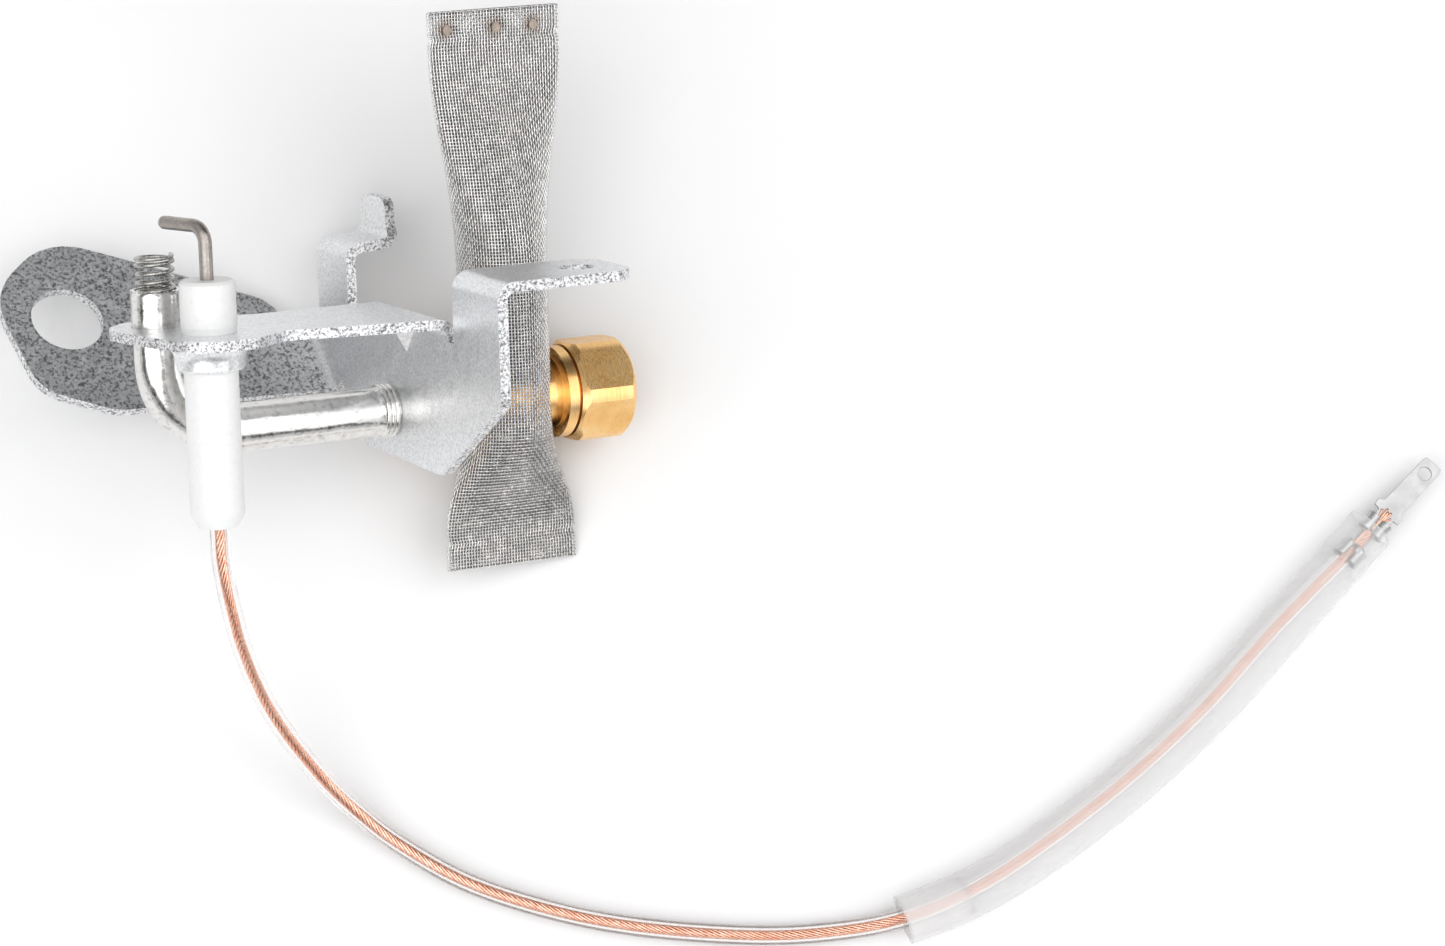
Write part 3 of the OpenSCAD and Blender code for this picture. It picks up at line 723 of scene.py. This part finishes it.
# ---- wire-mesh air filter ----------------------------------------------------

MESH_AT, MESH_LOW, MESH_LEN, SEAM = 15.5, -21.0, 68.8, 4.2
MESH_TOP = MESH_LOW + MESH_LEN
WARPS, WEFTS = 92, 172
NECK_R = 4.1


def ease(t):
    """0 to 1 with level ends."""
    s = np.clip(t, 0, 1)
    return s * s * (3 - 2 * s)


def oval(z, inset):
    """Half width and half depth of the sleeve at height z, pinched at each seam."""
    open_ = np.where(z < 0, ease((z - MESH_LOW - SEAM) / 14), ease((MESH_TOP - SEAM - z) / 28))
    pinch = sum(np.exp(-((z - fold) / 0.4) ** 2) for fold in (MESH_TOP - 3.6, MESH_LOW + 3.4))
    flat_w, flat_d, open_w, open_d = 18, 1.1, 10.8, 12.6
    a = (flat_w + (open_w - flat_w) * open_) / 2 - 0.28 * pinch
    b = (flat_d + (open_d - flat_d) * open_) / 2
    return a - 0.2 - inset, np.maximum(b - 0.22 - inset, 0.3 - inset * 0.8)


def weave_grid(inset, drift):
    """Evenly spaced points round the sleeve at each level, with three directions."""
    z = np.linspace(MESH_LOW + 0.25, MESH_TOP - 0.25, WEFTS)
    a, b = oval(z, inset)
    fine = np.linspace(0, FULL_TURN, 721)
    points = np.empty((WEFTS, WARPS, 3))
    for j in range(WEFTS):
        x, y = a[j] * np.cos(fine), b[j] * np.sin(fine)
        s = np.concatenate([[0], np.cumsum(np.hypot(np.diff(x), np.diff(y)))])
        want = ((np.arange(WARPS) + 0.5 + drift * j) / WARPS % 1.0) * s[-1]
        points[j, :, 0] = np.interp(want, s, x) + MESH_AT
        points[j, :, 1] = np.interp(want, s, y)
        points[j, :, 2] = z[j]
    along = np.gradient(points, axis=0)
    round_ = np.roll(points, -1, 1) - np.roll(points, 1, 1)
    return points, unit(np.cross(round_, along)), unit(along), unit(round_)


def wire_tubes(paths, across, out, keep, wire):
    """Four-sided wires; each path is (count, n, 3). keep drops broken stretches."""
    q = np.pi / 4 + np.arange(4) * np.pi / 2
    ring = (paths[:, :, None] + wire * (np.cos(q)[None, None, :, None] * out[:, :, None]
            + np.sin(q)[None, None, :, None] * across[:, :, None]))
    count, n = paths.shape[:2]
    c, i = np.nonzero(keep[:, :-1] & keep[:, 1:])
    base = (c * n + i) * 4
    faces = []
    for k in range(4):
        k2 = (k + 1) % 4
        faces.append(np.stack([base + k, base + k2, base + 4 + k2, base + 4 + k], 1))
    return place(ring.reshape(-1, 3)), np.concatenate(faces)


def wrap(m):
    """Close a grid round the sleeve."""
    return np.concatenate([m, m[:, :1]], 1)


def make_weave(name, material, inset, wire, drift=0.0, replaces=(), open_at=0.0):
    """One woven layer, holed for the injector and opened in front below open_at."""
    points, normal, along, round_ = weave_grid(inset, drift)
    sign = np.where((np.add.outer(np.arange(WEFTS), np.arange(WARPS)) % 2) == 0, 1.0, -1.0)
    lift = sign[:, :, None] * wire * normal
    keep = np.hypot(points[:, :, 1], points[:, :, 2]) > NECK_R
    keep &= (np.abs(points[:, :, 2]) > open_at) | (points[:, :, 1] > 0)
    up = [m.transpose(1, 0, 2) for m in (points + lift, round_, normal)]
    v, f = wire_tubes(up[0], up[1], up[2], keep.T, wire)
    add(name + "_warp", v, f.tolist(), material, "burner", replaces=replaces)
    v, f = wire_tubes(wrap(points - lift), wrap(along), wrap(normal), wrap(keep), wire)
    add(name + "_weft", v, f.tolist(), material, "burner")


WELDS = [place([[MESH_AT + x, -0.65, MESH_TOP - 2.4]])[0] for x in (-6.5, 0, 5)]
make_weave("filter_outer", woven("woven_wire", WELDS), 0.0, 0.10, replaces=["mesh_filter"])
# The inner layer's nearly black wire is painted shade: it darkens the gaps of the outer weave as
# the sleeve's dark inside would, and stays open in front of the brass.
make_weave("filter_painted_shade", woven("woven_painted_shade", WELDS, 0.12), 0.42, 0.12, 0.03, open_at=4.4)
dress("seam_welds", steel("weld_spots", (0.36, 0.30, 0.25), 0.35))


# ---- bracket -----------------------------------------------------------------

EDGE_DEPTH = 2.6 * MM  # more metal than this behind a face makes it a cut edge
EAR_FACING = 0.97
DART, DART_R = Vector(place((-0.7, -5.4, 10.9))), 2.2 * MM


def inner_point(corners):
    """The middle of the largest triangle that a flat face is cut into."""
    best, where = -1, None
    for tri in tessellate_polygon([corners]):
        a, b, c = (corners[i] for i in tri)
        size = (b - a).cross(c - a).length
        if size > best:
            best, where = size, (a + b + c) / 3
    return where


def make_bracket():
    """The bracket's own shape with eased edges and rougher sheared edges."""
    source = frame["nodes"]["bracket"]
    mesh = source.data.copy()
    mesh.transform(source.matrix_world)
    mesh.materials.clear()
    for look in (zinc("zinc_sheet"), zinc("zinc_cut_edge", True), zinc("zinc_ear_painted_shade", sparkle_and_shade=1.0)):
        mesh.materials.append(look)
    obj = bpy.data.objects.new("bracket_skin", mesh)
    scene.collection.objects.link(obj)
    bm = bmesh.new()
    bm.from_mesh(mesh)
    bmesh.ops.remove_doubles(bm, verts=bm.verts, dist=1e-6)
    bmesh.ops.dissolve_limit(bm, angle_limit=math.radians(0.8), verts=bm.verts, edges=bm.edges)
    tree = BVHTree.FromBMesh(bm)
    ear = Vector(mounts["ear_hole"]["axis"])
    for face in bm.faces:
        face.material_index = 0
        n = face.normal
        c = inner_point([v.co for v in face.verts])
        if (c - DART).length < DART_R:
            continue
        depth = tree.ray_cast(c - n * 2e-5, -n)[3]
        if depth is None or depth > EDGE_DEPTH:
            face.material_index = 1
        # Faces turned along the ear's hole get the ear's zinc copy, with painted shade in its
        # darker specks.
        elif abs(n @ ear) > EAR_FACING:
            face.material_index = 2
    bm.to_mesh(mesh)
    bm.free()
    mesh.shade_smooth()
    soften(obj, 0.16 * MM, 30, 3)
    smooth = obj.modifiers.new("normals", "WEIGHTED_NORMAL")
    smooth.keep_sharp = True
    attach(obj, "burner")
    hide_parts("bracket")


make_bracket()


# ---- pilot tube, collar, spring ----------------------------------------------

TUBE_REACH, TUBE_MOUTH = 29.6, 17.5


def make_tube():
    """The plated tube: along the inlet's axis, round the elbow and up."""
    reach, elbow, mouth = TUBE_REACH, 9.0, TUBE_MOUTH
    q = np.linspace(0, np.pi / 2, 40)
    flat = np.column_stack([np.linspace(-2, -reach + elbow, 24), np.zeros(24), np.zeros(24)])
    bend = np.column_stack([-reach + elbow - elbow * np.sin(q), np.zeros(40),
                            elbow - elbow * np.cos(q)])
    up = np.column_stack([np.full(20, -reach), np.zeros(20), np.linspace(elbow, mouth, 20)])
    line = place(np.concatenate([flat, bend[1:], up[1:]]))
    v, f = shell(line, 3.0 * MM, 2.5 * MM, 64)
    obj = add("pilot_tube_skin", v, f, nickel("nickel_plate"), "burner",
              replaces=["pilot_tube"])
    soften(obj, 0.1 * MM, 50)


def make_spring():
    """A wire coil with closed end turns, standing in the tube's mouth."""
    turns, pitch, wire = 8, 1.05, 0.25
    r = (4.8 - 2 * wire) / 2
    t = np.linspace(0, turns, turns * 40 + 1)
    rise = pitch * t - (pitch - 2 * wire) * (np.minimum(t, 1) + np.maximum(0, t - turns + 1))
    low = TUBE_MOUTH + 4.3 - rise[-1] - wire
    wob = 1 + 0.02 * np.sin(t * 2.1)
    path = np.column_stack([-TUBE_REACH + r * wob * np.cos(FULL_TURN * t),
                            r * wob * np.sin(FULL_TURN * t), low + rise])
    v, f = rod(place(path), wire * MM, 12, tuple(AZ))
    add("flame_spring_coil", v, f, steel("spring_wire", (0.50, 0.49, 0.47), 0.24),
        "burner", replaces=["flame_spring"])


def make_collar():
    """Three rounded beads between the tube and the web."""
    half, groove = 0.3, 3.04
    x, r = [-2.0, -1.95], [2.85, 3.02]
    for start in (-1.9, -1.3, -0.7):
        for a in np.linspace(0, np.pi, 9):
            x.append(start + half * (1 - math.cos(a)))
            r.append(groove + 0.31 * math.sin(a))
    x += [-0.05, 0.0]
    r += [groove, groove]
    line = place(np.column_stack([x, np.zeros(len(x)), np.zeros(len(x))]))
    v, f = shell(line, np.array(r) * MM, 2.55 * MM, 72)
    add("tube_collar_beads", v, f, nickel("collar_plate"), "burner",
        replaces=["tube_collar"])


make_tube()
make_collar()
make_spring()
dress("ceramic_insulator", ceramic("alumina"), 0.2 * MM)
dress("electrode_rod", steel("electrode_wire", (0.46, 0.42, 0.39), 0.34, 2600))
dress("end_seal", resin("potting"))
dress("splice_ferrule", brass("ferrule_brass"))
for name in ("injector_body", "lock_nut", "lock_ring", "union_nut"):
    dress(name, brass(name + "_brass"), 0.1 * MM)
for name in ("injector_jet", "olive"):
    dress(name, brass(name + "_brass"))
